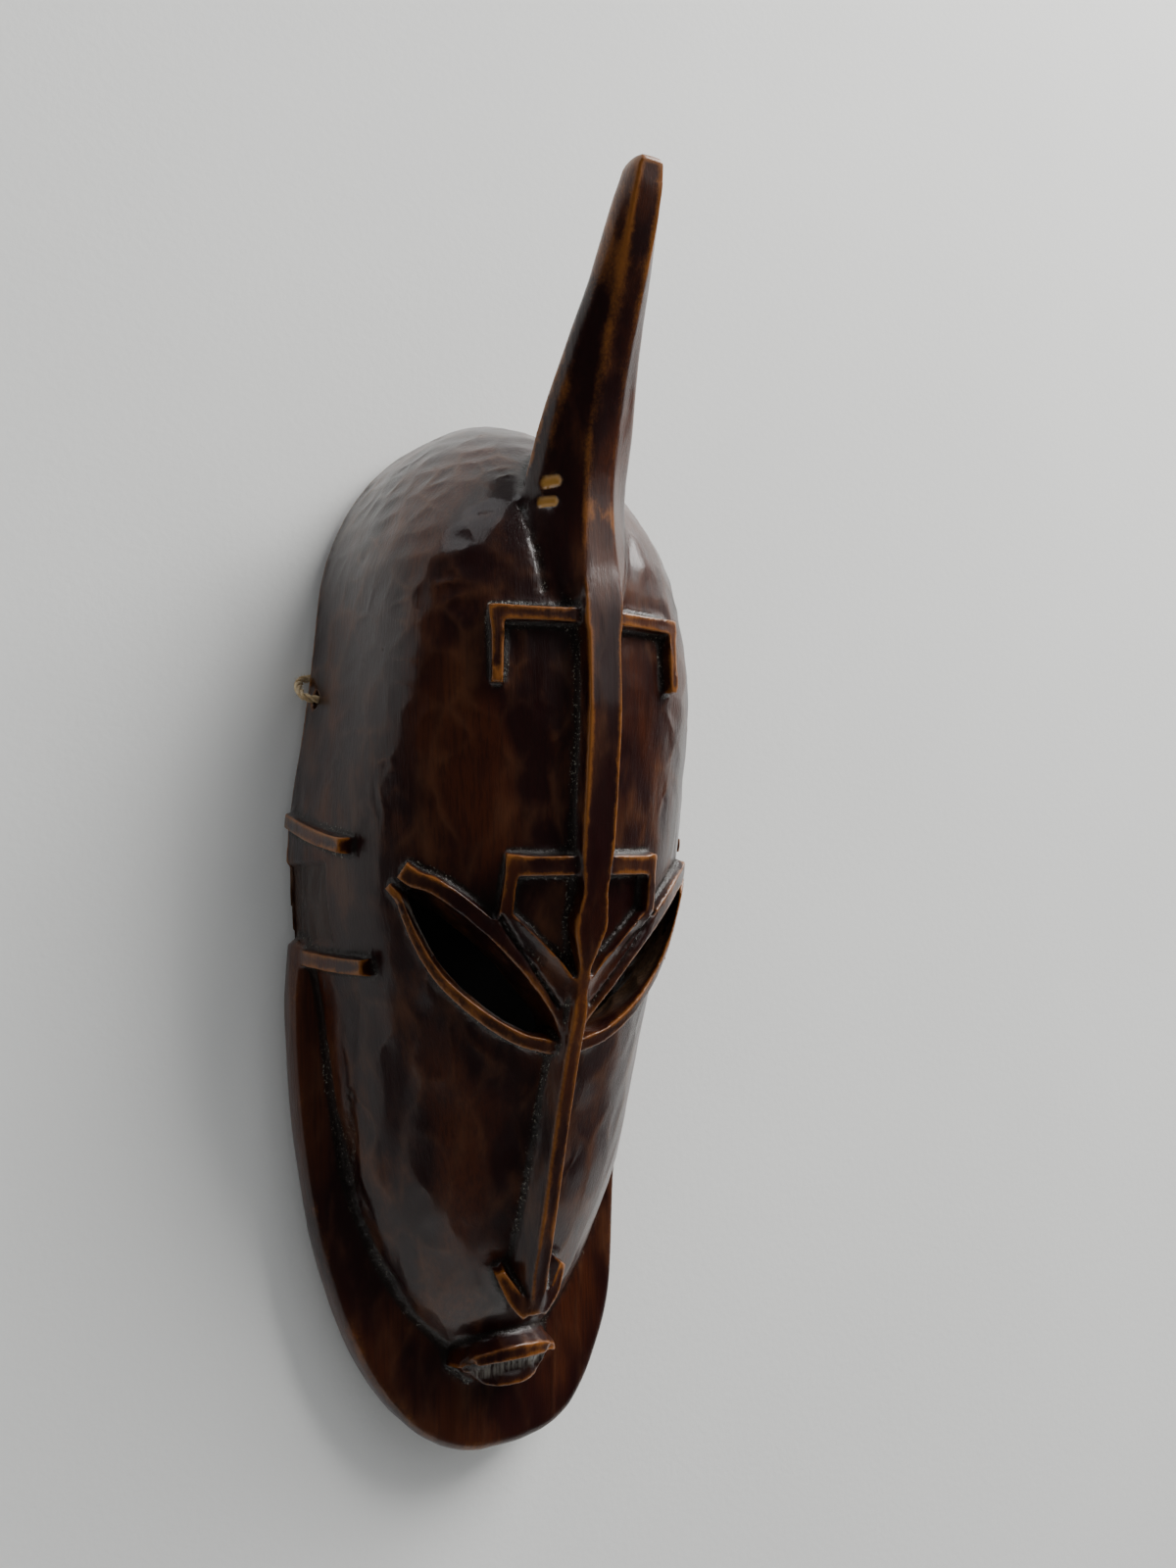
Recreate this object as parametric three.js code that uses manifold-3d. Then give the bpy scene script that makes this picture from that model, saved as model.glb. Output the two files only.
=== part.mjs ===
// A carved wooden wall mask: one hollow block of wood with a horn, relief bars, slit eyes, a long
// nose, a chin collar and ear bars, hung from a fibre cord tied through a hole in each side rim.
// Millimetres. X runs across the face, -Y comes out of the face, +Z runs up to the horn.
// Shape points are written for the mask's own size and follow the overall sizes below.
import * as THREE from "three";
import { mergeVertices } from "three/addons/utils/BufferGeometryUtils.js";
import Module from "manifold-3d";

// Overall sizes.
const FACE_HEIGHT = 299; // chin to crown, without the horn
const COLLAR_WIDTH = 117; // widest place, at the chin collar
const FACE_DEPTH = 75.5; // back rim to the forehead, without the ridge
const HORN_RISE = 108; // horn tip above its foot
const WALL = 9; // wood left between the outside and the hollow

// Relief.
const RIDGE_HALF = 5.8; // half the width of the forehead ridge
const RIDGE_PROUD = 4.5; // how far the ridge stands off the forehead
const BAR_PROUD = 3.4; // bars and hooks of the forehead
const LID_PROUD = 2.9; // rims of the eyes
const EAR_PROUD = 4.6; // ear bars of the left side
const EAR_RIGHT = 1.4; // ear bars of the right side, cut lower
const SLIT_HALF = 5; // half the width of an eye slit at its middle
const COLLAR_THICK = 11.5; // flat collar round the chin
const COLLAR_EDGE = 3.2; // rounding of its front edge
const SINK = 3.5; // how deep a raised piece is rooted in the wall

// Cord.
const CORD = 2.4; // diameter
const HOLE = 4.8; // drilled hole in each side rim
const HOLE_UP = 214; // height of the holes above the chin
const HOLE_IN = 7; // distance of the holes from the back plane
const KNOT = 6.4; // diameter of a knot
const GAP = 0.35; // air between pieces that touch

const sx = (v) => (v * COLLAR_WIDTH) / 117;
const sy = (v) => (v * FACE_DEPTH) / 75.5;
const sz = (v) => (v * FACE_HEIGHT) / 299;

// A smooth curve through a few points, without overshoot.
function through(points) {
  const n = points.length;
  const d = [];
  for (let i = 0; i < n - 1; i++) {
    d.push((points[i + 1][1] - points[i][1]) / (points[i + 1][0] - points[i][0]));
  }
  const m = points.map((_, i) => {
    if (i === 0) return d[0];
    if (i === n - 1) return d[n - 2];
    return d[i - 1] * d[i] <= 0 ? 0 : (2 * d[i - 1] * d[i]) / (d[i - 1] + d[i]);
  });
  return (at) => {
    const x = Math.min(Math.max(at, points[0][0]), points[n - 1][0]);
    let i = 0;
    while (i < n - 2 && x > points[i + 1][0]) i++;
    const h = points[i + 1][0] - points[i][0];
    const t = (x - points[i][0]) / h;
    const a = points[i][1] * (1 + 2 * t) * (1 - t) ** 2;
    const b = points[i + 1][1] * (3 - 2 * t) * t * t;
    return a + b + h * (m[i] * t * (1 - t) ** 2 - m[i + 1] * (1 - t) * t * t);
  };
}
const heights = (points, scale) => through(points.map(([z, v]) => [sz(z), scale(v)]));

// Height against half width, depth and squareness of the block's outside.
const WIDTHS = [[21, 3], [24, 9], [30, 16], [41, 26], [57, 36], [82, 45.5], [109, 49.5], [133, 52], [146, 55.4]];
const WIDTHS_UP = [[163, 57], [180, 56], [202, 52.3], [225, 49], [247, 46.5], [263, 41.5], [278, 32.5], [288, 22.5], [295, 12], [298, 6], [299, 2]];
const DEPTHS = [[21, 12], [33, 19], [44, 27], [62, 35], [77, 40.5], [98, 47], [118, 54.5], [137, 62], [160, 69]];
const DEPTHS_UP = [[186, 73], [211, 75.5], [232, 75.5], [247, 74], [262, 68], [275, 58], [285, 46], [293, 30], [298, 12], [299, 4]];
const SQUARE = [[0, 2], [45, 2.1], [80, 2.2], [110, 2.3], [162, 2.5], [187, 2.9], [222, 3.7], [242, 3.4], [267, 2.5], [299, 2]];
const SLOPES = [[0, 0], [97, 0.02], [162, 0.12], [200, 0.2], [240, 0.2], [270, 0.05], [299, 0]];
const halfWidth = heights([...WIDTHS, ...WIDTHS_UP], sx);
const depth = heights([...DEPTHS, ...DEPTHS_UP], sy);
const square = heights(SQUARE, (v) => v);
const slope = heights(SLOPES, (v) => v);

// The front of the wood at a place of the face, the collar's flat included.
function front(x, z) {
  const t = Math.abs(x) / halfWidth(z);
  if (t >= 1) return -COLLAR_THICK;
  const n = square(z);
  const roof = slope(z) * Math.abs(x) * (1 - t ** 4);
  return Math.min(-depth(z) * (1 - t ** n) ** (1 / n) + roof, -COLLAR_THICK);
}
function side(y, z) {
  const n = square(z);
  return halfWidth(z) * (1 - Math.min(-y / depth(z), 1) ** n) ** (1 / n);
}
function onFront(x, z) {
  const e = 0.5;
  const gx = (front(x + e, z) - front(x - e, z)) / (2 * e);
  const gz = (front(x, z + e) - front(x, z - e)) / (2 * e);
  return { p: new THREE.Vector3(x, front(x, z), z), n: new THREE.Vector3(gx, -1, gz).normalize() };
}
function onSide(y, z) {
  const e = 0.5;
  const gy = (side(y + e, z) - side(y - e, z)) / (2 * e);
  return { p: new THREE.Vector3(-side(y, z), y, z), n: new THREE.Vector3(-1, -gy, 0).normalize() };
}

const wasm = await Module();
wasm.setup();

function solid(geometry) {
  const g = geometry.index ? geometry.toNonIndexed() : geometry;
  g.deleteAttribute("normal");
  g.deleteAttribute("uv");
  const merged = mergeVertices(g, 1e-3);
  const made = new wasm.Manifold(
    new wasm.Mesh({
      numProp: 3,
      vertProperties: new Float32Array(merged.attributes.position.array),
      triVerts: new Uint32Array(merged.index.array),
    }),
  );
  return made;
}

// A closed skin over a row of rings that all have the same number of points.
function skin(rings) {
  const count = rings[0].length;
  const vertices = rings.flat();
  const faces = [];
  for (let i = 0; i < rings.length - 1; i++) {
    for (let j = 0; j < count; j++) {
      const a = i * count + j;
      const b = i * count + ((j + 1) % count);
      faces.push([a, b, b + count], [a, b + count, a + count]);
    }
  }
  for (const [base, flip] of [[0, true], [(rings.length - 1) * count, false]]) {
    const ring = vertices.slice(base, base + count);
    const middle = ring.reduce((s, p) => s.add(p), new THREE.Vector3()).divideScalar(count);
    const hub = vertices.push(middle) - 1;
    for (let j = 0; j < count; j++) {
      const a = base + j;
      const b = base + ((j + 1) % count);
      faces.push(flip ? [b, a, hub] : [a, b, hub]);
    }
  }
  const g = new THREE.BufferGeometry();
  g.setAttribute("position", new THREE.Float32BufferAttribute(vertices.flatMap((p) => p.toArray()), 3));
  g.setIndex(faces.flat());
  let made = solid(g);
  if (made.volume() < 0) {
    g.setIndex(faces.flatMap(([a, b, c]) => [a, c, b]));
    made = solid(g);
  }
  return made;
}

// The filled block between two heights, shrunk by a wall where a hollow is wanted.
function block(low, high, levels, around, wall) {
  const rings = [];
  for (let k = 0; k <= levels; k++) {
    const s = (1 - Math.cos((Math.PI * k) / levels)) / 2;
    const z = low + (high - low) * s;
    const taper = wall ? Math.sqrt(1.03 - Math.abs(2 * s - 1) ** 6) : 1;
    const w = wall ? Math.max(halfWidth(z) - wall, 2) * taper : halfWidth(z);
    const d = wall ? Math.max(depth(z) - wall * 1.15, 3) * taper : depth(z);
    const n = square(z);
    const ring = [];
    for (let j = 0; j <= around; j++) {
      const a = -Math.PI / 2 + (Math.PI * j) / around;
      const x = w * Math.sign(a) * Math.abs(Math.sin(a)) ** (2 / n);
      const t = Math.abs(x) / w;
      const y = -d * Math.max(1 - t ** n, 0) ** (1 / n) + slope(z) * Math.abs(x) * (1 - t ** 4);
      ring.push(new THREE.Vector3(x, Math.min(y, 0), z));
    }
    ring[0].y = wall ? 2 : 0;
    ring[around].y = wall ? 2 : 0;
    rings.push(ring);
  }
  return skin(rings);
}

// A raised band that follows stations laid on the wood.
function band(stations) {
  const rings = stations.map((s, i) => {
    const before = stations[Math.max(i - 1, 0)].p;
    const after = stations[Math.min(i + 1, stations.length - 1)].p;
    const along = after.clone().sub(before).normalize();
    const across = along.clone().cross(s.n).normalize();
    const place = (half, lift) => s.p.clone().addScaledVector(across, half).addScaledVector(s.n, lift);
    const w = s.width / 2;
    return [place(-w, -SINK), place(w, -SINK), place(w * 0.86, s.right), place(-w * 0.86, s.left)];
  });
  return skin(rings);
}
// Points are x, z, width and height; a fifth value is the height of the other edge.
function frontBand(points, step = 4) {
  const stations = [];
  for (let i = 0; i < points.length - 1; i++) {
    const [a, b] = [points[i], points[i + 1]];
    const run = Math.hypot(b[0] - a[0], b[1] - a[1]);
    const parts = Math.max(1, Math.round(run / step));
    for (let k = i ? 1 : 0; k <= parts; k++) {
      const v = a.map((q, m) => q + ((b[m] - q) * k) / parts);
      const at = onFront(sx(v[0]), sz(v[1]));
      stations.push({ ...at, width: v[2], left: v[3], right: v[4] ?? v[3] });
    }
  }
  return band(stations);
}
const both = (left) => left.add(left.mirror([1, 0, 0]));

let body = block(sz(21), sz(299), 42, 34, 0);

// Collar: a flat plate round the lower half, its edges rounded. The carver left its two sides uneven:
// the left one is round, the right one is narrower and runs straighter before it turns.
const COLLAR_RIGHT = [[0, 10], [2, 20], [6, 27], [12, 31.8], [21, 36.4], [30, 39.8], [40, 42], [50, 43], [62, 43.6]];
const COLLAR_RIGHT_UP = [[72, 44.4], [84, 46.2], [96, 48.4], [110, 50.8], [131, 53], [145, 54]];
const rightSide = heights([...COLLAR_RIGHT, ...COLLAR_RIGHT_UP], sx);
function collar() {
  const middle = sz(131);
  const shape = new THREE.Shape();
  const curve = 2 / 2.09;
  for (let k = 0; k <= 26; k++) {
    const a = Math.PI + (Math.PI * k) / 52;
    const x = (COLLAR_EDGE - sx(58.5)) * Math.abs(Math.cos(a)) ** curve;
    const z = middle - (middle - COLLAR_EDGE) * Math.abs(Math.sin(a)) ** curve;
    if (k) shape.lineTo(x, z);
    else shape.moveTo(x, z);
  }
  for (let k = 1; k <= 30; k++) {
    const z = COLLAR_EDGE + (sz(145) - COLLAR_EDGE) * (k / 30) ** 2;
    shape.lineTo(rightSide(z - COLLAR_EDGE * (1 - k / 30)) - COLLAR_EDGE, z);
  }
  shape.lineTo(COLLAR_EDGE - sx(57.5), sz(145));
  const plate = new THREE.ExtrudeGeometry(shape, {
    depth: COLLAR_THICK - 2 * COLLAR_EDGE,
    bevelSize: COLLAR_EDGE,
    bevelThickness: COLLAR_EDGE,
    bevelSegments: 3,
  });
  plate.rotateX(Math.PI / 2);
  plate.translate(0, -COLLAR_EDGE, 0);
  return solid(plate);
}
// The right cheek follows its collar inwards.
const PULL = heights([[30, 0], [70, 0.06], [120, 0.06], [150, 0.05], [175, 0.03], [198, 0]], (v) => v);
const uneven = (made) =>
  made.warp((v) => {
    if (v[0] > 0) v[0] *= 1 - PULL(v[2]);
  });

// Horn: height, half width, then the depths of its side edges, front facet and back.
const HORN = [
  [226, 6, 70, 79.6, 62, 5.8],
  [232, 6.4, 73, 80, 60, 5.8],
  [237, 11.2, 73, 79.6, 58, 5.4],
  [246, 14.2, 71.5, 78.6, 54, 4.8],
  [260, 16.6, 67.5, 78.4, 48, 4.2],
  [279, 15.4, 74.5, 82, 56, 3.9],
  [297, 12.2, 82.5, 89, 68, 3.8],
  [315, 9, 92, 97.5, 81, 3.8],
  [330, 6.8, 98.5, 103.5, 91.5, 3.9],
  [338.5, 4.8, 102, 106, 97, 3.4],
  [340, 3.6, 102.6, 105, 99, 2.6],
];
// Share of the horn's slanting face that is cut back to a narrow flat side.
const SIDE_CUT = 0.28;
function horn() {
  const foot = 232;
  const columns = [1, 2, 3, 4, 5].map((m) => through(HORN.map((row) => [row[0], row[m]])));
  const rings = [];
  for (let k = 0; k <= 20; k++) {
    const v = k < 20 ? 226 + ((338.5 - 226) * k) / 19 : 340;
    const [half, edge, face, back, facet] = columns.map((c) => c(v));
    const z = v > foot ? sz(foot) + ((v - foot) * HORN_RISE) / 108 : sz(v);
    const right = [
      [facet, face],
      [half + SIDE_CUT * (facet - half), edge + SIDE_CUT * (face - edge)],
      [half * 0.93, edge - 3.2],
      [half * 0.45, back],
    ];
    const left = right.map(([x, y]) => [-x, y]).reverse();
    rings.push([...left, ...right].map(([x, y]) => new THREE.Vector3(sx(x), -sy(y), z)));
  }
  return skin(rings);
}

// Nose: height, half width of its flat top, half width of its foot, depth of its top.
const NOSE = [
  [138, 1.2, 2.2, 66.5],
  [128, 2.2, 4.2, 64.6],
  [118, 2.2, 4.8, 61],
  [98, 2.2, 5.2, 54.4],
  [77, 2.2, 5.8, 48.2],
  [62, 2.3, 7, 43.6],
  [54, 2.4, 8.6, 41],
  [48, 2.2, 6.5, 39.4],
  [44.5, 1.2, 3, 38.2],
];
function nose() {
  const columns = [1, 2, 3].map((m) => through(NOSE.map((r) => [r[0], r[m]]).reverse()));
  const rings = [];
  for (let k = 0; k <= 24; k++) {
    const v = 138 - ((138 - 44.5) * k) / 24;
    const [top, foot, reach] = columns.map((c) => c(v));
    const root = front(sx(foot), sz(v)) + SINK;
    const ring = [[-foot, root], [foot, root], [top, -sy(reach)], [-top, -sy(reach)]];
    rings.push(ring.map(([x, y]) => new THREE.Vector3(sx(x), y, sz(v))));
  }
  return skin(rings);
}

// Eye, on the viewer's left: a slanted almond between its outer and inner ends.
const OUTER = new THREE.Vector2(-42.5, 161);
const INNER = new THREE.Vector2(-3.9, 122.5);
const ALONG = INNER.clone().sub(OUTER);
const UPWARD = new THREE.Vector2(-ALONG.y, ALONG.x).normalize();
const eyeAt = (s, off) => OUTER.clone().addScaledVector(ALONG, s).addScaledVector(UPWARD, off);
const swell = (s, power) => Math.sin(Math.PI * Math.min(Math.max(s, 0), 1)) ** power;
const slitTop = (s) => 0.52 * SLIT_HALF * swell(s, 0.45);
const slitBottom = (s) => -1.64 * SLIT_HALF * swell(s, s < 0.5 ? 0.92 : 0.52);
function slit() {
  const rim = [];
  for (let k = 0; k <= 16; k++) rim.push(eyeAt(k / 16, slitTop(k / 16)));
  for (let k = 15; k >= 1; k--) rim.push(eyeAt(k / 16, slitBottom(k / 16)));
  const shape = new THREE.Shape(rim.map((p) => new THREE.Vector2(sx(p.x), sz(p.y))));
  const cutter = new THREE.ExtrudeGeometry(shape, { depth: sy(110), bevelEnabled: false });
  cutter.rotateX(Math.PI / 2);
  cutter.translate(0, 5, 0);
  return solid(cutter);
}
function lid(upper) {
  const points = [];
  for (let k = 0; k <= 16; k++) {
    const s = upper ? -0.07 + (1.08 * k) / 16 : -0.05 + (1.1 * k) / 16;
    const edge = upper ? slitTop(s) : slitBottom(s);
    const wide = upper ? 5.9 - 2.2 * Math.max(2 * s - 1, 0) ** 3 : 2.8 + 2 * Math.max(s, 0);
    const p = eyeAt(s, edge + ((upper ? 1 : -1) * wide) / 2);
    points.push([p.x, p.y, wide, LID_PROUD]);
  }
  return frontBand(points, 9);
}

// Forehead: ridge with its spearhead, hooks, cross-bar, and the two arms of the shield.
const ridge = frontBand([
  [0, 231, 2 * RIDGE_HALF, RIDGE_PROUD],
  [0, 170, 2 * RIDGE_HALF, RIDGE_PROUD],
  [0, 160, 8.8, RIDGE_PROUD],
  [0, 151, 12.2, RIDGE_PROUD],
  [0, 141, 4.6, RIDGE_PROUD],
  [0, 135, 4.2, RIDGE_PROUD],
], 6);
const hook = frontBand([[-1, 229.7, 4.8, BAR_PROUD], [-27.6, 229.7, 4.8, BAR_PROUD]]);
const hookArm = frontBand([[-25.5, 232.1, 4.2, BAR_PROUD], [-25.9, 211.8, 3.8, BAR_PROUD]]);
const crossBar = frontBand([[-1, 166.2, 6.4, BAR_PROUD], [-22.4, 166.2, 6.4, BAR_PROUD]]);
const barArm = frontBand([[-20.4, 169.4, 4, BAR_PROUD], [-21.6, 151.5, 4.6, BAR_PROUD]]);
const shield = frontBand([
  [-21.5, 154, 4.5, BAR_PROUD, 2.2],
  [-15, 147.2, 6, BAR_PROUD, 1.4],
  [-8, 140.2, 7, BAR_PROUD + 0.4, 1.6],
  [-1.6, 133.4, 6, RIDGE_PROUD, 3],
]);
const nostril = frontBand([
  [-1.5, 48.4, 5.2, 9.4],
  [-5.5, 52.6, 5.4, 7.6],
  [-9.4, 58.5, 3.6, 4.6],
], 3);
// Lips: across the mouth, the depth and height of the edge and how thick it is.
const MOUTH_MIDDLE = 1.2;
function lip(half, reach, cornerReach, high, cornerHigh, thick, rise, deep = 9) {
  const rings = [];
  for (let k = 0; k <= 14; k++) {
    const t = -1 + (2 * k) / 14;
    const full = Math.sqrt(1.02 - t * t);
    const y = -sy(cornerReach + (reach - cornerReach) * full);
    const z = sz(cornerHigh + (high - cornerHigh) * full);
    const tall = thick * (0.3 + 0.7 * full);
    const x = sx(MOUTH_MIDDLE + half * t);
    rings.push([
      new THREE.Vector3(x, y, z),
      new THREE.Vector3(x, y + 0.4, z - tall),
      new THREE.Vector3(x, y + deep, z - tall - 1),
      new THREE.Vector3(x, y + deep, z + rise * full + 1),
    ]);
  }
  return skin(rings);
}
const upperLip = lip(16, 26.8, 17.5, 33.4, 28.4, 4, 5);
const lowerLip = lip(11, 23, 16.5, 24.9, 25.6, 3.4, 0.4);
const betweenLips = lip(13.5, 22.3, 16.6, 30.4, 27.6, 6, 0, 14);
function earBar(rim, tip, proud) {
  const stations = [];
  for (let k = 0; k <= 8; k++) {
    const t = k / 8;
    const at = onSide(-sy(1.5 + 36 * t), sz(rim + (tip - rim) * t));
    const lift = proud * (0.4 + 0.6 * t);
    stations.push({ ...at, width: 5.2, left: lift, right: lift });
  }
  return band(stations);
}

for (const piece of [horn(), nose(), ridge, upperLip, betweenLips, lowerLip]) body = body.add(piece);
for (const piece of [hook, hookArm, crossBar, barArm, shield, nostril, lid(true), lid(false)]) {
  body = body.add(both(piece));
}
for (const [rim, tip] of [[180.5, 172], [143.5, 140.5]]) {
  body = body.add(earBar(rim, tip, EAR_PROUD));
  body = body.add(earBar(rim, tip, EAR_RIGHT).mirror([1, 0, 0]));
}
body = uneven(body).add(collar());
body = body.subtract(uneven(block(sz(35), sz(288), 24, 26, WALL)));
body = body.subtract(both(slit()));

const drill = new THREE.CylinderGeometry(HOLE / 2, HOLE / 2, 3 * COLLAR_WIDTH, 20);
drill.rotateZ(Math.PI / 2);
drill.translate(0, -HOLE_IN, sz(HOLE_UP));
body = body.subtract(solid(drill));

// Cord: a taut run across the hollow, a knot at each wall, and a turn through each hole.
function tube(path, radius, steps, closed) {
  const round = new THREE.Shape();
  for (let k = 0; k < 8; k++) {
    const a = (2 * Math.PI * (k + 0.5)) / 8;
    if (k) round.lineTo(radius * Math.cos(a), radius * Math.sin(a));
    else round.moveTo(radius * Math.cos(a), radius * Math.sin(a));
  }
  if (!closed) return solid(new THREE.ExtrudeGeometry(round, { steps, extrudePath: path }));
  const frames = path.computeFrenetFrames(steps, true);
  const rings = [];
  for (let i = 0; i < steps; i++) {
    const centre = path.getPointAt(i / steps);
    const ring = [];
    for (let k = 0; k < 8; k++) {
      const a = (2 * Math.PI * (k + 0.5)) / 8;
      const across = frames.normals[i].clone().multiplyScalar(radius * Math.cos(a));
      const over = frames.binormals[i].clone().multiplyScalar(radius * Math.sin(a));
      ring.push(centre.clone().add(across).add(over));
    }
    rings.push(ring);
  }
  const vertices = rings.flat();
  const faces = [];
  for (let i = 0; i < steps; i++) {
    for (let k = 0; k < 8; k++) {
      const a = i * 8 + k;
      const b = i * 8 + ((k + 1) % 8);
      const c = ((i + 1) % steps) * 8 + ((k + 1) % 8);
      const d = ((i + 1) % steps) * 8 + k;
      faces.push(a, b, c, a, c, d);
    }
  }
  const g = new THREE.BufferGeometry();
  g.setAttribute("position", new THREE.Float32BufferAttribute(vertices.flatMap((p) => p.toArray()), 3));
  g.setIndex(faces);
  const made = solid(g);
  if (made.volume() > 0) return made;
  for (let i = 0; i < faces.length; i += 3) [faces[i + 1], faces[i + 2]] = [faces[i + 2], faces[i + 1]];
  g.setIndex(faces);
  return solid(g);
}
const holeZ = sz(HOLE_UP);
const outside = side(-HOLE_IN, holeZ);
const inside = halfWidth(holeZ) - WALL;
const away = CORD / 2 + GAP;
function turn(sign) {
  const points = [
    [inside - away - 0.6, -HOLE_IN + 0.1, 0.3],
    [(inside + outside) / 2, -HOLE_IN, 0],
    [outside + away + 0.8, -HOLE_IN + 0.4, 0.6],
    [outside + away + 1.4, -2, 4],
    [outside - 0.5, away + 1, 7],
    [inside + 1.5, away + 1, 7],
    [inside - away - 1.6, -2, 4],
  ];
  const path = new THREE.CatmullRomCurve3(
    points.map(([x, y, z]) => new THREE.Vector3(sign * x, y, holeZ + z)),
    true,
  );
  return tube(path, CORD / 2, 30, true);
}
const knotX = inside - 2 * away - 1.8 - GAP - (KNOT / 2) * 0.85;
function knot(sign) {
  const ball = new THREE.IcosahedronGeometry(KNOT / 2, 2);
  ball.scale(0.85, 1, 1.1);
  ball.translate(sign * knotX, -HOLE_IN + 2, holeZ + 1.6);
  return solid(ball);
}
const spanEnd = knotX - (KNOT / 2) * 0.85 - GAP;
const spanPath = new THREE.LineCurve3(
  new THREE.Vector3(-spanEnd, -HOLE_IN + 2, holeZ + 1.6),
  new THREE.Vector3(spanEnd, -HOLE_IN + 2, holeZ + 1.6),
);

// The mask hangs by the middle of its cord, which is the origin.
const group = new THREE.Group();
function place(name, made, colour) {
  const m = made.getMesh();
  const g = new THREE.BufferGeometry();
  g.setAttribute("position", new THREE.BufferAttribute(new Float32Array(m.vertProperties), 3));
  g.setIndex(new THREE.BufferAttribute(new Uint32Array(m.triVerts), 1));
  g.translate(0, HOLE_IN - 2, -holeZ - 1.6);
  const mesh = new THREE.Mesh(g, new THREE.MeshStandardMaterial({ color: colour }));
  mesh.name = name;
  group.add(mesh);
}
place("mask_body", body, "#3a1d14");
place("hanging_cord", tube(spanPath, CORD / 2, 12, false), "#c9ad74");
place("rim_loop_left", turn(-1), "#c9ad74");
place("rim_loop_right", turn(1), "#c9ad74");
place("knot_left", knot(-1), "#c9ad74");
place("knot_right", knot(1), "#c9ad74");

export default group;
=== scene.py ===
# %% [markdown]
# # A carved wooden wall mask
# The real object is one block of wood, hollowed from behind. The carver left a horn and raised bars
# standing on it and cut slit eyes through it. A twine tied through both side rims carries it on a
# nail. The CAD frame already holds every true size. This lesson gives that frame its carved
# surface, its old waxed stain and its twisted twine.

# %% Load the frame
import math

import bpy
import numpy as np
from mathutils import Matrix, Vector
from mathutils.kdtree import KDTree


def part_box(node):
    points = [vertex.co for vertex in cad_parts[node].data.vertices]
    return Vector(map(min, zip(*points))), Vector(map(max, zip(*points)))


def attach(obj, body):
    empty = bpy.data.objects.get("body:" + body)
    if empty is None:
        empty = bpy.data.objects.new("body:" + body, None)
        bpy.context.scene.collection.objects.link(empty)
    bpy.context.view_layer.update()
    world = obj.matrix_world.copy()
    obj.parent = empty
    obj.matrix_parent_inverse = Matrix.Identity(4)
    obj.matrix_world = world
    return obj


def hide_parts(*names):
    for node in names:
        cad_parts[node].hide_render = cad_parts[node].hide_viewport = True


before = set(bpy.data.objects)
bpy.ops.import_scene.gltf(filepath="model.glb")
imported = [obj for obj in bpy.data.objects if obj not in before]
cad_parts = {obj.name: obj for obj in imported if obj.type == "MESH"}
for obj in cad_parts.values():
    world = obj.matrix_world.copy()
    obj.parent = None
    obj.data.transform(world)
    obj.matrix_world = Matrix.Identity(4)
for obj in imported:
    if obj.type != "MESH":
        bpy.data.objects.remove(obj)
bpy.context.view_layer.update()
scene = bpy.context.scene
MM = 0.001
print("nodes", sorted(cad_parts))

# %% [markdown]
# ## The camera
# The camera stands at the mask's left, a little under its middle, and looks slightly up. Two turns
# and a small roll give its axes: where it looks, what is up for it, and what is to its right. A
# camera in Blender looks along its own -Z, so the three axes become the columns of its matrix.

# %% Camera
CAMERA_PLACE = Vector((-195.9, -380.9, -55.0)) * MM
CAMERA_TURN = math.radians(31.79)
CAMERA_RISE = math.radians(4.06)
CAMERA_ROLL = math.radians(-1.10)
FIELD_OF_VIEW = math.radians(57.3)
NEAREST_SEEN = 0.01


def axes_of_view(turn, rise, roll):
    ahead = Vector(
        (math.sin(turn) * math.cos(rise), math.cos(turn) * math.cos(rise), math.sin(rise))
    )
    level = Vector((math.cos(turn), -math.sin(turn), 0))
    upright = level.cross(ahead)
    right = math.cos(roll) * level + math.sin(roll) * upright
    up = math.cos(roll) * upright - math.sin(roll) * level
    return right, up, -ahead


camera_data = bpy.data.cameras.new("camera")
camera_data.angle = FIELD_OF_VIEW
camera_data.clip_start = NEAREST_SEEN
camera = bpy.data.objects.new("camera", camera_data)
turned = Matrix(axes_of_view(CAMERA_TURN, CAMERA_RISE, CAMERA_ROLL)).transposed()
camera.matrix_world = Matrix.Translation(CAMERA_PLACE) @ turned.to_4x4()
scene.collection.objects.link(camera)
bpy.context.scene.camera = camera
print("camera lens in mm", round(camera_data.lens, 2))

# %% [markdown]
# ## Small helpers
# Every finished piece is a plain mesh at the origin. A modifier or a node tree makes it, and
# `freeze` turns the evaluated result into that mesh and lets the working object go.

# %% Helpers for pieces
def show(name, data):
    piece = bpy.data.objects.new(name, data)
    scene.collection.objects.link(piece)
    return piece


def freeze(working, name):
    graph = bpy.context.evaluated_depsgraph_get()
    mesh = bpy.data.meshes.new_from_object(working.evaluated_get(graph), depsgraph=graph)
    mesh.name = name
    bpy.data.objects.remove(working, do_unlink=True)
    return mesh


def finish_piece(piece, cad_node, material):
    piece.data.materials.clear()
    piece.data.materials.append(material)
    for face in piece.data.polygons:
        face.use_smooth = True
    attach(piece, "root")
    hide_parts(cad_node)
    triangles = sum(len(face.vertices) - 2 for face in piece.data.polygons)
    print(piece.name, triangles, "triangles")


# %% [markdown]
# ## Node helpers
# Materials and node trees are built link by link. `feed` links an output to a socket or sets a
# plain value on it, and `node` adds one node and feeds its sockets by name or number. The others
# are for what repeats: sums, products, mixes of two colours, a soft step from 0 to 1, and a noise
# stretched along an axis.

# %% Helpers for nodes
def feed(tree, socket, value):
    if isinstance(value, bpy.types.NodeSocket):
        tree.links.new(value, socket)
    else:
        socket.default_value = value


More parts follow.
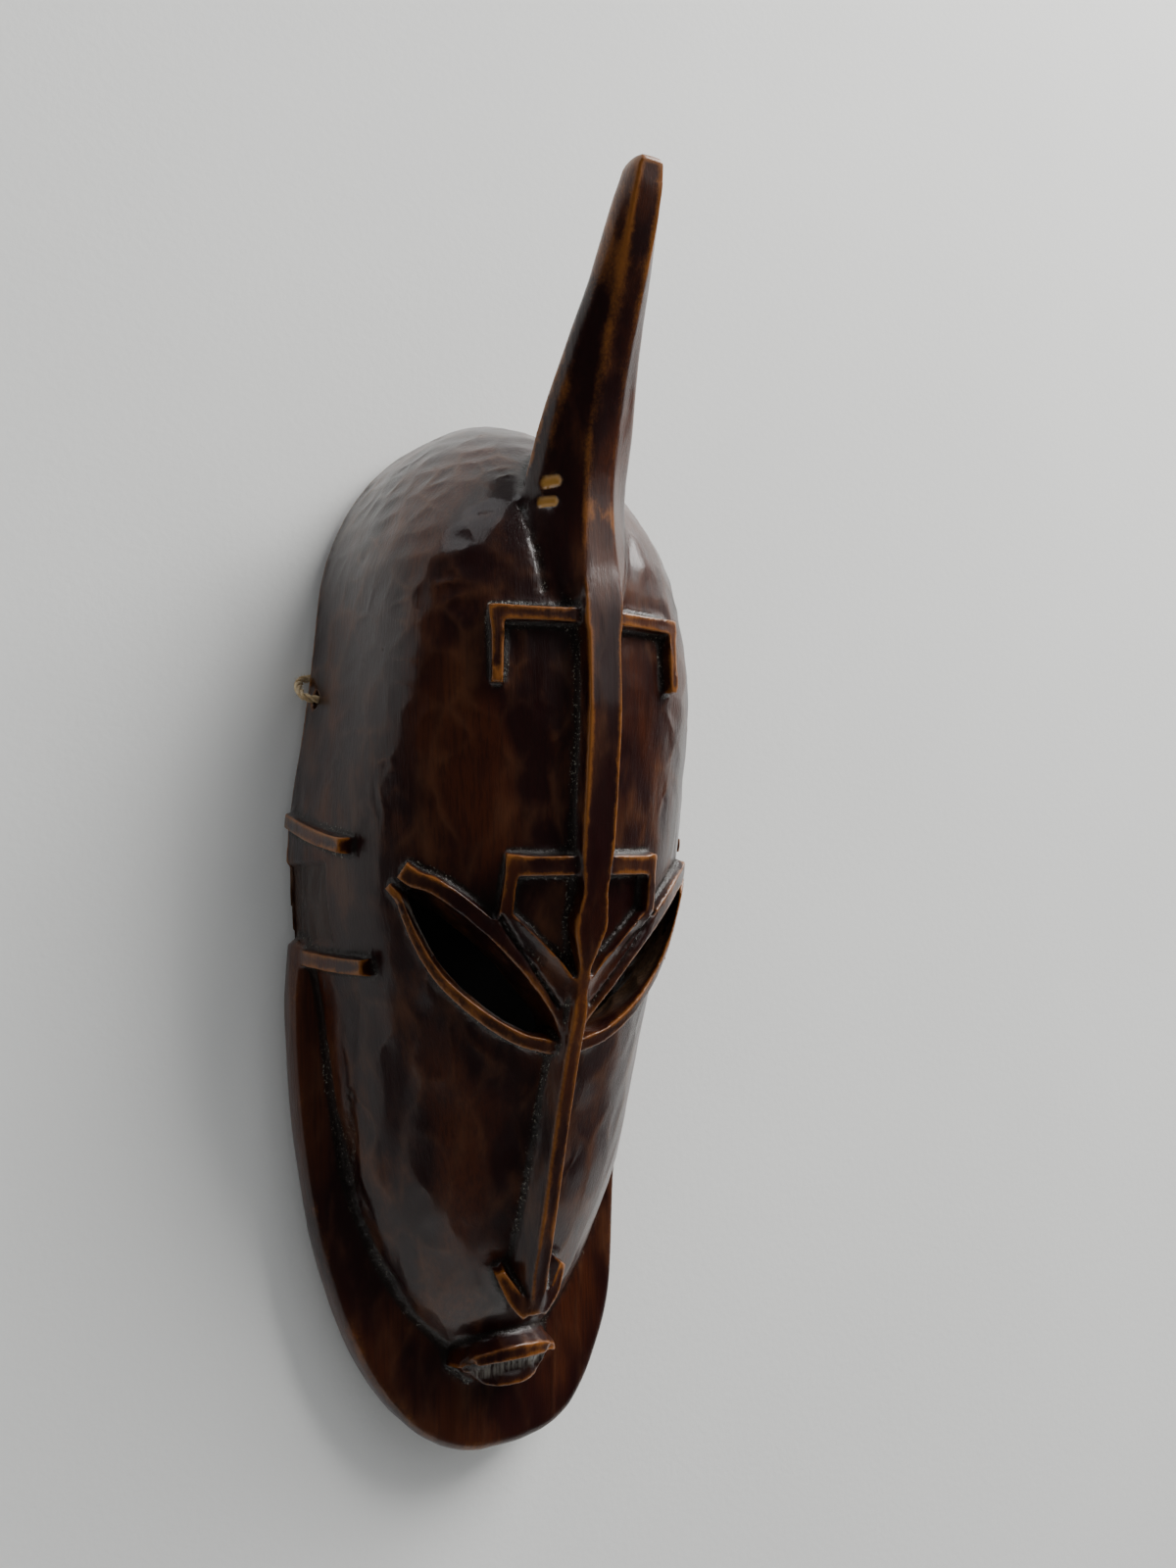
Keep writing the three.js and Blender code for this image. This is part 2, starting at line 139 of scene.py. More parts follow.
def node(tree, kind, inputs=None, **settings):
    made = tree.nodes.new(kind)
    for name, value in settings.items():
        setattr(made, name, value)
    for name, value in (inputs or {}).items():
        feed(tree, made.inputs[name], value)
    return made


def maths(tree, operation, *values):
    made = node(tree, "ShaderNodeMath", operation=operation)
    for socket, value in zip(made.inputs, values):
        feed(tree, socket, value)
    return made.outputs[0]


def times(tree, first, second):
    return maths(tree, "MULTIPLY", first, second)


def plus(tree, first, second):
    return maths(tree, "ADD", first, second)


def blend_colour(tree, share, first, second):
    """The first colour where share is 0, the second where it is 1."""
    inputs = {0: share, 6: first, 7: second}
    return node(tree, "ShaderNodeMix", inputs, data_type="RGBA").outputs[2]


def ramp(tree, value, low, high):
    inputs = {"Value": value, "From Min": low, "From Max": high}
    made = node(tree, "ShaderNodeMapRange", inputs, interpolation_type="SMOOTHSTEP")
    return made.outputs["Result"]


def speckle(tree, place, stretch, scale, detail=3.0, rough=0.55):
    moved = node(tree, "ShaderNodeMapping", {"Vector": place, "Scale": stretch})
    inputs = {"Vector": moved.outputs[0], "Scale": scale, "Detail": detail, "Roughness": rough}
    return node(tree, "ShaderNodeTexNoise", inputs).outputs["Fac"]


def blank_material(name):
    material = bpy.data.materials.new(name)
    material.use_nodes = True
    material.node_tree.nodes.clear()
    return material, material.node_tree


def close_material(tree, shader):
    end = tree.nodes.new("ShaderNodeOutputMaterial")
    tree.links.new(shader.outputs[0], end.inputs["Surface"])


print("materials before any finish is made", len(bpy.data.materials))

# %% [markdown]
# ## The twine's route
# The twine hangs the mask: it runs straight across the hollow from one knot to the other, and at
# each rim a turn of it passes through a drilled hole and back over the edge. The CAD solids hold
# that route, so the points here are the same ones. A turn's points go from inside the hollow,
# through the hole, round the rim's edge and back, each with its distance from the middle of the
# mask and, in millimetres, how far it is behind and above the hole.

# %% Route of the twine
TWINE = 2.4 * MM
RIM_OUTSIDE = 50.49 * MM
RIM_INSIDE = 41.50 * MM
RIM_CLEAR = 1.55 * MM
HOLE_MIDDLE = Vector((0, -2, -1.6)) * MM
KNOT_REACH, KNOT_LOBE, KNOT_THICK, KNOT_TALL = 1.42, 0.62, 0.55, 1.1
KNOT_POINTS = 72
SPAN_STEPS = 40
span_low, span_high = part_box("hanging_cord")
knot_low, knot_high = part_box("knot_right")
knot_middle = (knot_low + knot_high) / 2


def turn_points(side):
    inner, outer, clear = RIM_INSIDE, RIM_OUTSIDE, RIM_CLEAR
    stations = [
        (inner - clear - 0.6 * MM, 0.1, 0.3),
        ((inner + outer) / 2, 0.0, 0.0),
        (outer + clear + 0.8 * MM, 0.4, 0.6),
        (outer + clear + 1.4 * MM, 5.0, 4.0),
        (outer - 0.5 * MM, 9.55, 7.0),
        (inner + 1.5 * MM, 9.55, 7.0),
        (inner - clear - 1.6 * MM, 5.0, 4.0),
    ]
    return [HOLE_MIDDLE + Vector((side * x, y * MM, z * MM)) for x, y, z in stations]


def closed_spline(points, per_span):
    """Centripetal Catmull-Rom, the curve that the CAD loop follows."""
    made = []
    count = len(points)
    for i in range(count):
        p = [points[(i + k - 1) % count] for k in range(4)]
        t = [0.0]
        for a, b in zip(p, p[1:]):
            t.append(t[-1] + math.sqrt((b - a).length))
        for k in range(per_span):
            u = t[1] + (t[2] - t[1]) * k / per_span
            a = [p[j].lerp(p[j + 1], (u - t[j]) / (t[j + 1] - t[j])) for j in range(3)]
            b = [a[j].lerp(a[j + 1], (u - t[j]) / (t[j + 2] - t[j])) for j in range(2)]
            made.append(b[0].lerp(b[1], (u - t[1]) / (t[2] - t[1])))
    return made


def knot_points(side):
    """One over-and-under turn of twine with three lobes, drawn tight."""
    middle = Vector((side * knot_middle.x, knot_middle.y, knot_middle.z))
    made = []
    for k in range(KNOT_POINTS):
        a = 2 * math.pi * k / KNOT_POINTS
        reach = KNOT_REACH + KNOT_LOBE * math.cos(3 * a)
        weave = KNOT_THICK * math.sin(3 * a)
        tall = KNOT_TALL * reach * math.sin(2 * a)
        made.append(middle + Vector((weave, reach * math.cos(2 * a), tall)) * MM)
    return made


span_line = [
    Vector((span_low.x + (span_high.x - span_low.x) * k / SPAN_STEPS, 0, 0))
    for k in range(SPAN_STEPS + 1)
]
print("taut run in mm", round((span_high.x - span_low.x) / MM, 1))
print("hole middle in mm", [round(v / MM, 1) for v in HOLE_MIDDLE])

# %% [markdown]
# ## Twisting the strands
# Plant-fibre twine is three strands laid round each other. Modelling each strand by hand would
# mean three helices for every path. A Geometry Nodes tree does it once: a profile of three small
# circles is swept along any line, and the line's tilt turns the profile as it goes. A closed turn
# must end as it began, so its twists are rounded to whole turns of a strand. The tree also writes
# the distance along the twine on the mesh, for the fibre's colour.

# %% Strands of the twine
LAY_LENGTH = 7.5 * MM
STRANDS = 3
STRAND_SHARE = 0.232
STRAND_SIDES = 10


def twine_profile(tree, thickness, strands):
    """One small circle for each strand, set in a ring."""
    radius = times(tree, thickness, STRAND_SHARE)
    offset = maths(tree, "SUBTRACT", times(tree, thickness, 0.5), radius)
    circle = "GeometryNodeCurvePrimitiveCircle"
    ring = node(tree, circle, {"Resolution": strands, "Radius": offset})
    spot = node(tree, circle, {"Resolution": STRAND_SIDES, "Radius": radius})
    middles = node(tree, "GeometryNodeCurveToPoints", {"Curve": ring.outputs[0]}, mode="EVALUATED")
    inputs = {"Points": middles.outputs["Points"], "Instance": spot.outputs[0]}
    spots = node(tree, "GeometryNodeInstanceOnPoints", inputs)
    return node(tree, "GeometryNodeRealizeInstances", {"Geometry": spots.outputs[0]}).outputs[0]


def twisted_strands(tree, given):
    along = tree.nodes.new("GeometryNodeSplineParameter").outputs
    whole = tree.nodes.new("GeometryNodeSplineLength").outputs["Length"]
    lays = maths(tree, "ROUND", maths(tree, "DIVIDE", whole, given["Lay length"]))
    lays = maths(tree, "MAXIMUM", lays, 1.0)
    twist = times(tree, times(tree, along["Factor"], lays), math.tau)
    tilted = node(tree, "GeometryNodeSetCurveTilt", {"Curve": given["Line"], "Tilt": twist})
    inputs = {"Geometry": tilted.outputs[0], "Name": "along_twine", "Value": along["Length"]}
    store = "GeometryNodeStoreNamedAttribute"
    marked = node(tree, store, inputs, data_type="FLOAT", domain="POINT")
    profile = twine_profile(tree, given["Thickness"], given["Strands"])
    inputs = {"Curve": marked.outputs[0], "Profile Curve": profile, "Fill Caps": True}
    return node(tree, "GeometryNodeCurveToMesh", inputs).outputs[0]


print("one strand is", round(2 * STRAND_SHARE * TWINE / MM, 2), "mm thick")

# %% [markdown]
# ## Stray fibres and the whole tree
# Old twine is never clean, so short stray fibres are scattered over the strands: a thin cone is
# placed on random points of the surface and leans over by a random amount, each draw with a fixed
# seed. The tree's named inputs are the sizes that a maker would choose: thickness, lay length,
# number of strands, and how many stray fibres of what length stand on a square centimetre.

# %% Twisted twine tree
STRAY_FIBRES = 60.0
STRAY_LENGTH = 1.2 * MM
STRAY_TIP, STRAY_ROOT = 0.01 * MM, 0.06 * MM
LEAN = 1.25
FULL_TURN = 6.28
CM2_IN_M2 = 10000.0


def stray_fibres(tree, given, strands):
    inputs = {
        "Vertices": 4,
        "Radius Top": STRAY_TIP,
        "Radius Bottom": STRAY_ROOT,
        "Depth": given["Stray length"],
    }
    hair = node(tree, "GeometryNodeMeshCone", inputs)
    inputs = {"Min": (-LEAN, -LEAN, 0), "Max": (LEAN, LEAN, FULL_TURN), "Seed": 7}
    lean = node(tree, "FunctionNodeRandomValue", inputs, data_type="FLOAT_VECTOR")
    density = times(tree, given["Stray fibres"], CM2_IN_M2)
    inputs = {"Mesh": strands, "Density": density, "Seed": 3}
    roots = node(tree, "GeometryNodeDistributePointsOnFaces", inputs).outputs
    inputs = {
        "Points": roots["Points"],
        "Instance": hair.outputs[0],
        "Rotation": roots["Rotation"],
    }
    hairs = node(tree, "GeometryNodeInstanceOnPoints", inputs)
    inputs = {"Instances": hairs.outputs[0], "Rotation": lean.outputs["Value"]}
    return node(tree, "GeometryNodeRotateInstances", inputs).outputs[0]


def twine_tree():
    tree = bpy.data.node_groups.new("twisted_twine", "GeometryNodeTree")
    sockets = (
        ("Line", "Geometry", None),
        ("Thickness", "Float", TWINE),
        ("Lay length", "Float", LAY_LENGTH),
        ("Strands", "Int", STRANDS),
        ("Stray fibres", "Float", STRAY_FIBRES),
        ("Stray length", "Float", STRAY_LENGTH),
        ("Fibre", "Material", None),
    )
    for name, kind, value in sockets:
        made = tree.interface.new_socket(name, in_out="INPUT", socket_type="NodeSocket" + kind)
        if value is not None:
            made.default_value = value
    tree.interface.new_socket("Twine", in_out="OUTPUT", socket_type="NodeSocketGeometry")
    given = tree.nodes.new("NodeGroupInput").outputs
    strands = twisted_strands(tree, given)
    strays = stray_fibres(tree, given, strands)
    both = tree.nodes.new("GeometryNodeJoinGeometry")
    for part in (strays, strands):
        tree.links.new(part, both.inputs[0])
    real = node(tree, "GeometryNodeRealizeInstances", {"Geometry": both.outputs[0]})
    inputs = {"Geometry": real.outputs[0], "Material": given["Fibre"]}
    painted = node(tree, "GeometryNodeSetMaterial", inputs)
    end = tree.nodes.new("NodeGroupOutput")
    tree.links.new(painted.outputs[0], end.inputs["Twine"])
    return tree


twine_nodes = twine_tree()
print("twine tree nodes", len(twine_nodes.nodes))

# %% [markdown]
# ## The fibre
# The twine is pale tan bast, darker where hands and wax have touched it. Its fine fibres run along
# each strand, and a painted highlight follows them: pale bands of gleam that read the distance
# along the twine that the tree wrote on the mesh. The soiling and the fine fibres are noises in
# space.

# %% Fibre material
BAST = (0.46, 0.32, 0.16, 1)
PALE_BAST = (0.66, 0.53, 0.33, 1)
BETWEEN_FIBRES = (0.24, 0.15, 0.07, 1)
# colour of the painted highlight on the fibres
PAINTED_FIBRE_HIGHLIGHT = (0.78, 0.66, 0.45, 1)


def fibre_material():
    material, tree = blank_material("natural_fibre")
    place = tree.nodes.new("ShaderNodeTexCoord").outputs["Object"]
    length = node(tree, "ShaderNodeAttribute", attribute_name="along_twine").outputs["Fac"]
    soiled = speckle(tree, place, (1, 1, 1), 260, 4)
    fine = speckle(tree, place, (1, 1, 1), 2600, 4, 0.7)
    inputs = {"W": length, "Scale": 900, "Detail": 2}
    bands = node(tree, "ShaderNodeTexNoise", inputs, noise_dimensions="1D").outputs["Fac"]
    colour = blend_colour(tree, ramp(tree, soiled, 0.35, 0.7), BAST, PALE_BAST)
    gaps = times(tree, ramp(tree, fine, 0.5, 0.75), 0.6)
    colour = blend_colour(tree, gaps, colour, BETWEEN_FIBRES)
    # painted highlight: pale bands of gleam along the twine
    painted_gleam = times(tree, ramp(tree, bands, 0.45, 0.7), 0.35)
    colour = blend_colour(tree, painted_gleam, colour, PAINTED_FIBRE_HIGHLIGHT)
    bump = node(tree, "ShaderNodeBump", {"Height": fine, "Strength": 0.6, "Distance": 0.2 * MM})
    inputs = {
        "Base Color": colour,
        "Roughness": 0.82,
        "Sheen Weight": 0.25,
        "Sheen Roughness": 0.5,
        "Specular IOR Level": 0.3,
        "Normal": bump.outputs[0],
    }
    close_material(tree, node(tree, "ShaderNodeBsdfPrincipled", inputs))
    return material


fibre = fibre_material()
print("fibre nodes", len(fibre.node_tree.nodes))

# %% [markdown]
# ## Laying the twine
# Each path becomes a poly curve, the tree twists it, and the result is kept as a mesh: the taut run
# across the hollow, and at each rim a turn and a knot. A knot is drawn tight, so its twine is a
# little thinner and cleaner.

# %% Make the twine pieces
TURN_DETAIL = 9
KNOT_TWINE = 2.1 * MM
KNOT_STRAYS = 40.0


def twine_piece(name, line, closed, strays=STRAY_FIBRES, thickness=TWINE):
    data = bpy.data.curves.new(name + "_line", "CURVE")
    data.dimensions = "3D"
    spline = data.splines.new("POLY")
    spline.points.add(len(line) - 1)
    for point, place in zip(spline.points, line):
        point.co = (*place, 1)
    spline.use_cyclic_u = closed
    working = show(name + "_line", data)
    modifier = working.modifiers.new("twine", "NODES")
    modifier.node_group = twine_nodes
    values = {
        "Thickness": thickness,
        "Lay length": LAY_LENGTH,
        "Stray fibres": strays,
        "Fibre": fibre,
    }
    for item in twine_nodes.interface.items_tree:
        if item.name in values:
            modifier[item.identifier] = values[item.name]
    return show(name, freeze(working, name))


cord = twine_piece("twine_span", span_line, False)
finish_piece(cord, "hanging_cord", fibre)
tied = []
for side, word in ((-1, "left"), (1, "right")):
    turn_line = closed_spline(turn_points(side), TURN_DETAIL)
    loop = twine_piece("twine_turn_" + word, turn_line, True)
    finish_piece(loop, "rim_loop_" + word, fibre)
    knot = twine_piece("twine_knot_" + word, knot_points(side), True, KNOT_STRAYS, KNOT_TWINE)
    finish_piece(knot, "knot_" + word, fibre)
    tied += [loop, knot]

print("pieces tied on the twine", len(tied))

# %% [markdown]
# ## The place it hangs in
# The mask hangs on a pale plastered wall. The wall matters for the finish: the waxed sides mirror
# it at a low angle, and that is their grey sheen. The pale floor is short and far below, or the
# wax would mirror it as a haze. The wall is plain from the front and open from behind, so that the
# hollow can be looked at as well. Where the mask covers it, an oval of it is painted dark, because
# the deep shadow there is what makes the slit eyes look black.

# %% Wall and floor
WALL_BEHIND = 9.6 * MM
WALL_HALF_WIDTH, WALL_TOP = 1.6, 1.7
FLOOR_HEIGHT = -1.45
FLOOR_HALF_WIDTH, FLOOR_FRONT, FLOOR_BACK = 2, -0.8, 1.6
PLASTER, PALE_PLASTER = (0.81, 0.815, 0.80, 1), (0.86, 0.865, 0.85, 1)
# painted shadow behind the mask, which the slit eyes look onto
PAINTED_SHADOW = (0.04, 0.04, 0.04, 1)
OVAL_SHIFT, OVAL_SCALE = (0, 0, 0.64), (26, 0, 9.1)


def plain_rectangle(name, corners):
    data = bpy.data.meshes.new(name)
    data.from_pydata(corners, [], [(0, 1, 2, 3)])
    return show(name, data)


def painted_shadow_oval(tree, place, colour):
    """A painted shadow: dark paint in an oval 38 mm to each side and 110 mm up and down, 70 mm
    below the cord.
    """
    inputs = {"Vector": place, "Location": OVAL_SHIFT, "Scale": OVAL_SCALE}
    centred = node(tree, "ShaderNodeMapping", inputs)
    away = node(tree, "ShaderNodeVectorMath", {0: centred.outputs[0]}, operation="LENGTH")
    return blend_colour(tree, ramp(tree, away.outputs["Value"], 0.8, 1.0), PAINTED_SHADOW, colour)


def open_from_behind(tree, paint):
    behind = tree.nodes.new("ShaderNodeNewGeometry").outputs["Backfacing"]
    passed = tree.nodes.new("ShaderNodeLightPath").outputs["Transparent Depth"]
    clear = tree.nodes.new("ShaderNodeBsdfTransparent")
    opened = maths(tree, "MAXIMUM", behind, maths(tree, "MINIMUM", passed, 1.0))
    return node(tree, "ShaderNodeMixShader", {0: opened, 1: paint.outputs[0], 2: clear.outputs[0]})


def plaster_material(name, see_through_behind):
    material, tree = blank_material(name)
    place = tree.nodes.new("ShaderNodeTexCoord").outputs["Object"]
    uneven = speckle(tree, place, (1, 1, 1), 3.0, 3)
    grit = speckle(tree, place, (1, 1, 1), 420.0, 4)
    colour = blend_colour(tree, ramp(tree, uneven, 0.3, 0.7), PLASTER, PALE_PLASTER)
    if see_through_behind:
        colour = painted_shadow_oval(tree, place, colour)
    bump = node(tree, "ShaderNodeBump", {"Height": grit, "Strength": 0.12, "Distance": 0.6 * MM})
    inputs = {"Base Color": colour, "Roughness": 0.7, "Normal": bump.outputs[0]}
    paint = node(tree, "ShaderNodeBsdfPrincipled", inputs)
    close_material(tree, open_from_behind(tree, paint) if see_through_behind else paint)
    return material


wall = plain_rectangle(
    "wall",
    [
        (-WALL_HALF_WIDTH, WALL_BEHIND, FLOOR_HEIGHT),
        (WALL_HALF_WIDTH, WALL_BEHIND, FLOOR_HEIGHT),
        (WALL_HALF_WIDTH, WALL_BEHIND, WALL_TOP),
        (-WALL_HALF_WIDTH, WALL_BEHIND, WALL_TOP),
    ],
)
wall.data.materials.append(plaster_material("wall_plaster", True))
floor = plain_rectangle(
    "floor",
    [
        (-FLOOR_HALF_WIDTH, FLOOR_FRONT, FLOOR_HEIGHT),
        (FLOOR_HALF_WIDTH, FLOOR_FRONT, FLOOR_HEIGHT),
        (FLOOR_HALF_WIDTH, FLOOR_BACK, FLOOR_HEIGHT),
        (-FLOOR_HALF_WIDTH, FLOOR_BACK, FLOOR_HEIGHT),
    ],
)
floor.data.materials.append(plaster_material("floor_paint", False))
print("wall stands", round(WALL_BEHIND / MM, 1), "mm behind the cord")

# %% [markdown]
# ## Lamps
# Soft daylight comes from above and from the right, so the mask throws a soft shadow to the left. A
# faint glow of the room, also from the right, opens the shadows on the face. A small lamp high at
# the left keeps the dark side readable: it hangs high because the dark wax would mirror a lower one
# as a haze. A fourth lamp stands behind the wall and lights the hollow for the views from behind.
# Each line gives where a lamp is, where it aims, its two sides, its watts and its tint.

# %% Lamps
LAMPS = {
    "daylight": ((1.1, -0.75, 1.25), (0, 0, -0.05), (1.4, 1.2), 69, (1.0, 0.99, 0.97)),
    "room_glow": ((0.80, -1.35, 0.62), (0, 0, 0.05), (1.1, 1.1), 2.6, (1.0, 0.98, 0.96)),
    "fill": ((-0.8, -0.4, 1.7), (0, 0, -0.05), (1.0, 0.8), 5, (0.96, 0.98, 1.0)),
    "back_light": ((0.1, 1.3, 0.7), (0, 0, -0.03), (1.4, 1.0), 14, (1, 1, 1)),
}


def lamp(name, place, target, size, power, tint):
    data = bpy.data.lights.new(name, "AREA")
    data.shape = "RECTANGLE"
    data.size, data.size_y = size
    data.energy = power
    data.color = tint
    aim = (Vector(target) - Vector(place)).to_track_quat("-Z", "Y")
    show(name, data).matrix_world = Matrix.Translation(place) @ aim.to_matrix().to_4x4()


for lamp_name, facts in LAMPS.items():
    lamp(lamp_name, *facts)

# %% [markdown]
# ## The room round it
# The empty room has three strengths. What the wax mirrors is nearly dark, because a bright room
# would lie as a haze on it. What falls on matt surfaces is a soft light from all sides. What the
# camera sees past the wall and the floor is a plain pale backdrop.

# %% World
SKY = (0.80, 0.82, 0.84, 1)
BACKDROP = (0.80, 0.80, 0.79, 1)
MIRRORED, SOFT_LIGHT, SEEN = 0.04, 0.34, 0.85


def glow(tree, colour, strength):
    return node(tree, "ShaderNodeBackground", {"Color": colour, "Strength": strength}).outputs[0]


def room_world():
    world = bpy.data.worlds.new("room")
    world.use_nodes = True
    tree = world.node_tree
    tree.nodes.clear()
    ray = tree.nodes.new("ShaderNodeLightPath").outputs
    mirrored_sky, soft_sky = glow(tree, SKY, MIRRORED), glow(tree, SKY, SOFT_LIGHT)
    inputs = {0: ray["Is Diffuse Ray"], 1: mirrored_sky, 2: soft_sky}
    lit = node(tree, "ShaderNodeMixShader", inputs).outputs[0]
    inputs = {0: ray["Is Camera Ray"], 1: lit, 2: glow(tree, BACKDROP, SEEN)}
    end = tree.nodes.new("ShaderNodeOutputWorld")
    tree.links.new(node(tree, "ShaderNodeMixShader", inputs).outputs[0], end.inputs["Surface"])
    return world


scene.world = room_world()
print("world nodes", len(scene.world.node_tree.nodes))

# %% [markdown]
# ## From CAD faces to a block of wood
# The CAD body is exact but faceted, and its raised bars meet the face in knife-sharp corners. A
# carver's surface needs thousands of small faces of even size. So a copy is merged and turned into
# an even skin by voxels. Blender's voxel remesh gives only four-sided faces, which the next cells
# rely on.

# %% Even skin over the carved block
SKIN_STEP = 0.65 * MM
WELD_REACH = 0.01 * MM


def even_skin(node_name, step):
    working = show("working_skin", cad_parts[node_name].data.copy())
    weld = working.modifiers.new("weld", "WELD")
    weld.merge_threshold = WELD_REACH
    voxels = working.modifiers.new("voxels", "REMESH")
    voxels.mode = "VOXEL"
    voxels.voxel_size = step
    return freeze(working, "carved_body")


body_mesh = even_skin("mask_body", SKIN_STEP)
print("skin vertices", len(body_mesh.vertices), "faces", len(body_mesh.polygons))

# %% [markdown]
# ## Reading the skin as numbers
# Relaxing and carving move a few hundred thousand points, so they are done on whole arrays. Each
# inner edge joins two faces, and each face has four corners. Those two lists are all that the
# steps below need.

# %% Skin as arrays
NO_LENGTH = 1e-12


def numbers(collection, field, width, kind):
    flat = np.empty(len(collection) * width, kind)
    collection.foreach_get(field, flat)
    return flat.reshape(-1, width) if width > 1 else flat


def scatter(index, values, count):
    """Adds rows of values into count bins, column by column."""
    return np.stack([np.bincount(index, column, count) for column in values.T], 1)


def unit(vectors):
    return vectors / np.maximum(np.linalg.norm(vectors, axis=1, keepdims=True), NO_LENGTH)


points = numbers(body_mesh.vertices, "co", 3, np.float32).astype(float)
corners = numbers(body_mesh.loops, "vertex_index", 1, np.int32).reshape(-1, 4)
edges = numbers(body_mesh.edges, "vertices", 2, np.int32)
edge_of_corner = numbers(body_mesh.loops, "edge_index", 1, np.int32)
by_edge = np.argsort(edge_of_corner, kind="stable")
sorted_edges = edge_of_corner[by_edge]
first = np.flatnonzero(sorted_edges[:-1] == sorted_edges[1:])
face_pairs = np.stack([by_edge[first] // 4, by_edge[first + 1] // 4], 1)
faces_at_point = np.bincount(corners.ravel(), minlength=len(points))
edges_at_point = np.bincount(edges.ravel(), minlength=len(points))
print("inner edges", len(face_pairs), "open or branching edges", len(edges) - len(face_pairs))

# %% [markdown]
# ## Directions and neighbours
# A face's direction comes from its two diagonals, and a point's direction is the mean of the faces
# round it. The mean over a point's neighbours is the tool for everything soft: repeated a few times
# it calms a shape or blurs a mask.

# %% Directions and soft means
def face_directions(points):
    a, b, c, d = (points[corners[:, k]] for k in range(4))
    return unit(np.cross(c - a, d - b))


def point_directions(points):
    directions = face_directions(points)
    total = np.zeros_like(points)
    for k in range(4):
        total += scatter(corners[:, k], directions, len(points))
    return unit(total)


def neighbour_mean(values):
    values = values.reshape(len(values), -1)
    total = scatter(edges[:, 0], values[edges[:, 1]], len(values))
    total += scatter(edges[:, 1], values[edges[:, 0]], len(values))
    return total / edges_at_point[:, None]


def softened(values, rounds):
    for _ in range(rounds):
        values = 0.5 * values + 0.5 * neighbour_mean(values).reshape(values.shape)
    return values


print("mean faces at a point", round(float(faces_at_point.mean()), 3))

# %% [markdown]
# ## Relaxing the facets
# First the face directions are averaged, each weighted by how alike it is to its neighbour. Then
# the points slide until the faces agree with those directions. Facets melt into one smooth dome
# while bars, lids and ridge keep their edges. One round of plain smoothing at the end rounds the
# sharpest corners a little, as a knife and years of handling do.

# %% Relax
ALIKE = 0.21
DIRECTION_ROUNDS = 26
POINT_ROUNDS = 22
HANDLED_ROUNDS = 1


def relaxed(points):
    directions = face_directions(points)
    a, b = face_pairs.T
    count = len(directions)
    for _ in range(DIRECTION_ROUNDS):
        apart = ((directions[a] - directions[b]) ** 2).sum(1)
        likeness = np.exp(-apart / (2 * ALIKE**2))[:, None]
        total = directions + scatter(a, likeness * directions[b], count)
        total += scatter(b, likeness * directions[a], count)
        directions = unit(total)
    points = points.copy()
    for _ in range(POINT_ROUNDS):
        middle = points[corners].mean(1)
        step = np.zeros_like(points)
        for k in range(4):
            off = ((middle - points[corners[:, k]]) * directions).sum(1, keepdims=True)
            step += scatter(corners[:, k], off * directions, len(points))
        points += step / faces_at_point[:, None]
    return softened(points, HANDLED_ROUNDS)


smooth_points = relaxed(points)
moved = np.linalg.norm(smooth_points - points, axis=1) / MM
print("relaxing moved points by", round(moved.mean(), 3), "mm, at most", round(moved.max(), 2))

# %% [markdown]
# ## Unevenness by rule
# Nothing on a carved surface is quite level. A value noise gives every corner of a cubic grid a
# number made from its own whole coordinates, and blends those numbers in between. It needs no file
# and no random draw, so it comes out the same every time. The large primes only spread neighbouring
# coordinates far apart.

# %% Value noise
AXIS_PRIMES = (73856093, 19349663, 83492791)
SEED_PRIME = 2654435761
MIXING_PRIME = 1274126177
LOWEST_BITS = 0xFFFF


def corner_values(cells, seed):
    """A number from 0 to 1 for each cell, made from its whole coordinates."""
    x, y, z = (cells * AXIS_PRIMES).T
    mixed = x ^ y ^ z ^ seed * SEED_PRIME
    mixed = (mixed ^ (mixed >> 13)) * MIXING_PRIME
    return ((mixed ^ (mixed >> 16)) & LOWEST_BITS) / float(LOWEST_BITS)


def unevenness(places, size, seed):
    """Smooth values from 0 to 1 that change over about the given size."""
    scaled = places / size
    cells = np.floor(scaled).astype(np.int64)
    part = scaled - cells
    part = part * part * (3 - 2 * part)
    total = np.zeros(len(places))
    for x in (0, 1):
        for y in (0, 1):
            for z in (0, 1):
                share = np.ones(len(places))
                for axis, side in enumerate((x, y, z)):
                    share *= part[:, axis] if side else 1 - part[:, axis]
                total += share * corner_values(cells + (x, y, z), seed)
    return total


print("unevenness at the first point", round(float(unevenness(smooth_points[:1], 9 * MM, 1)[0]), 3))

# %% [markdown]
# ## Steps, lines and mirrored lines
# A mark that ends in a hard border looks stamped on. `step_between` goes softly from 0 to 1, and
# `cut` is 1 on a line and falls to 0 at its half width, like the section of a rounded groove. A
# line is given as a few points in millimetres. Some cuts are made on both sides of the face, so a
# line can be mirrored.

# %% Steps and lines
def step_between(values, low, high):
    part = np.clip((values - low) / (high - low), 0, 1)
    return part * part * (3 - 2 * part)


def reach_to_line(places, line):
    """Distance of every place from a line of straight pieces."""
    best = np.full(len(places), np.inf)
    for a, b in zip(line, line[1:]):
        a, b = np.array(a, float), np.array(b, float)
        along = np.clip((places - a) @ (b - a) / ((b - a) @ (b - a)), 0, 1)
        best = np.minimum(best, np.linalg.norm(places - a - along[:, None] * (b - a), axis=1))
    return best


def cut(places, line, half_width):
    """1 on the line, 0 beyond the half width."""
    return np.clip(1 - (reach_to_line(places, line) / half_width) ** 2, 0, 1)


def mirrored(line):
    return [(-x_mm, z_mm) for x_mm, z_mm in line]


print("a step half way up is", float(step_between(np.array([0.5]), 0, 1)[0]))

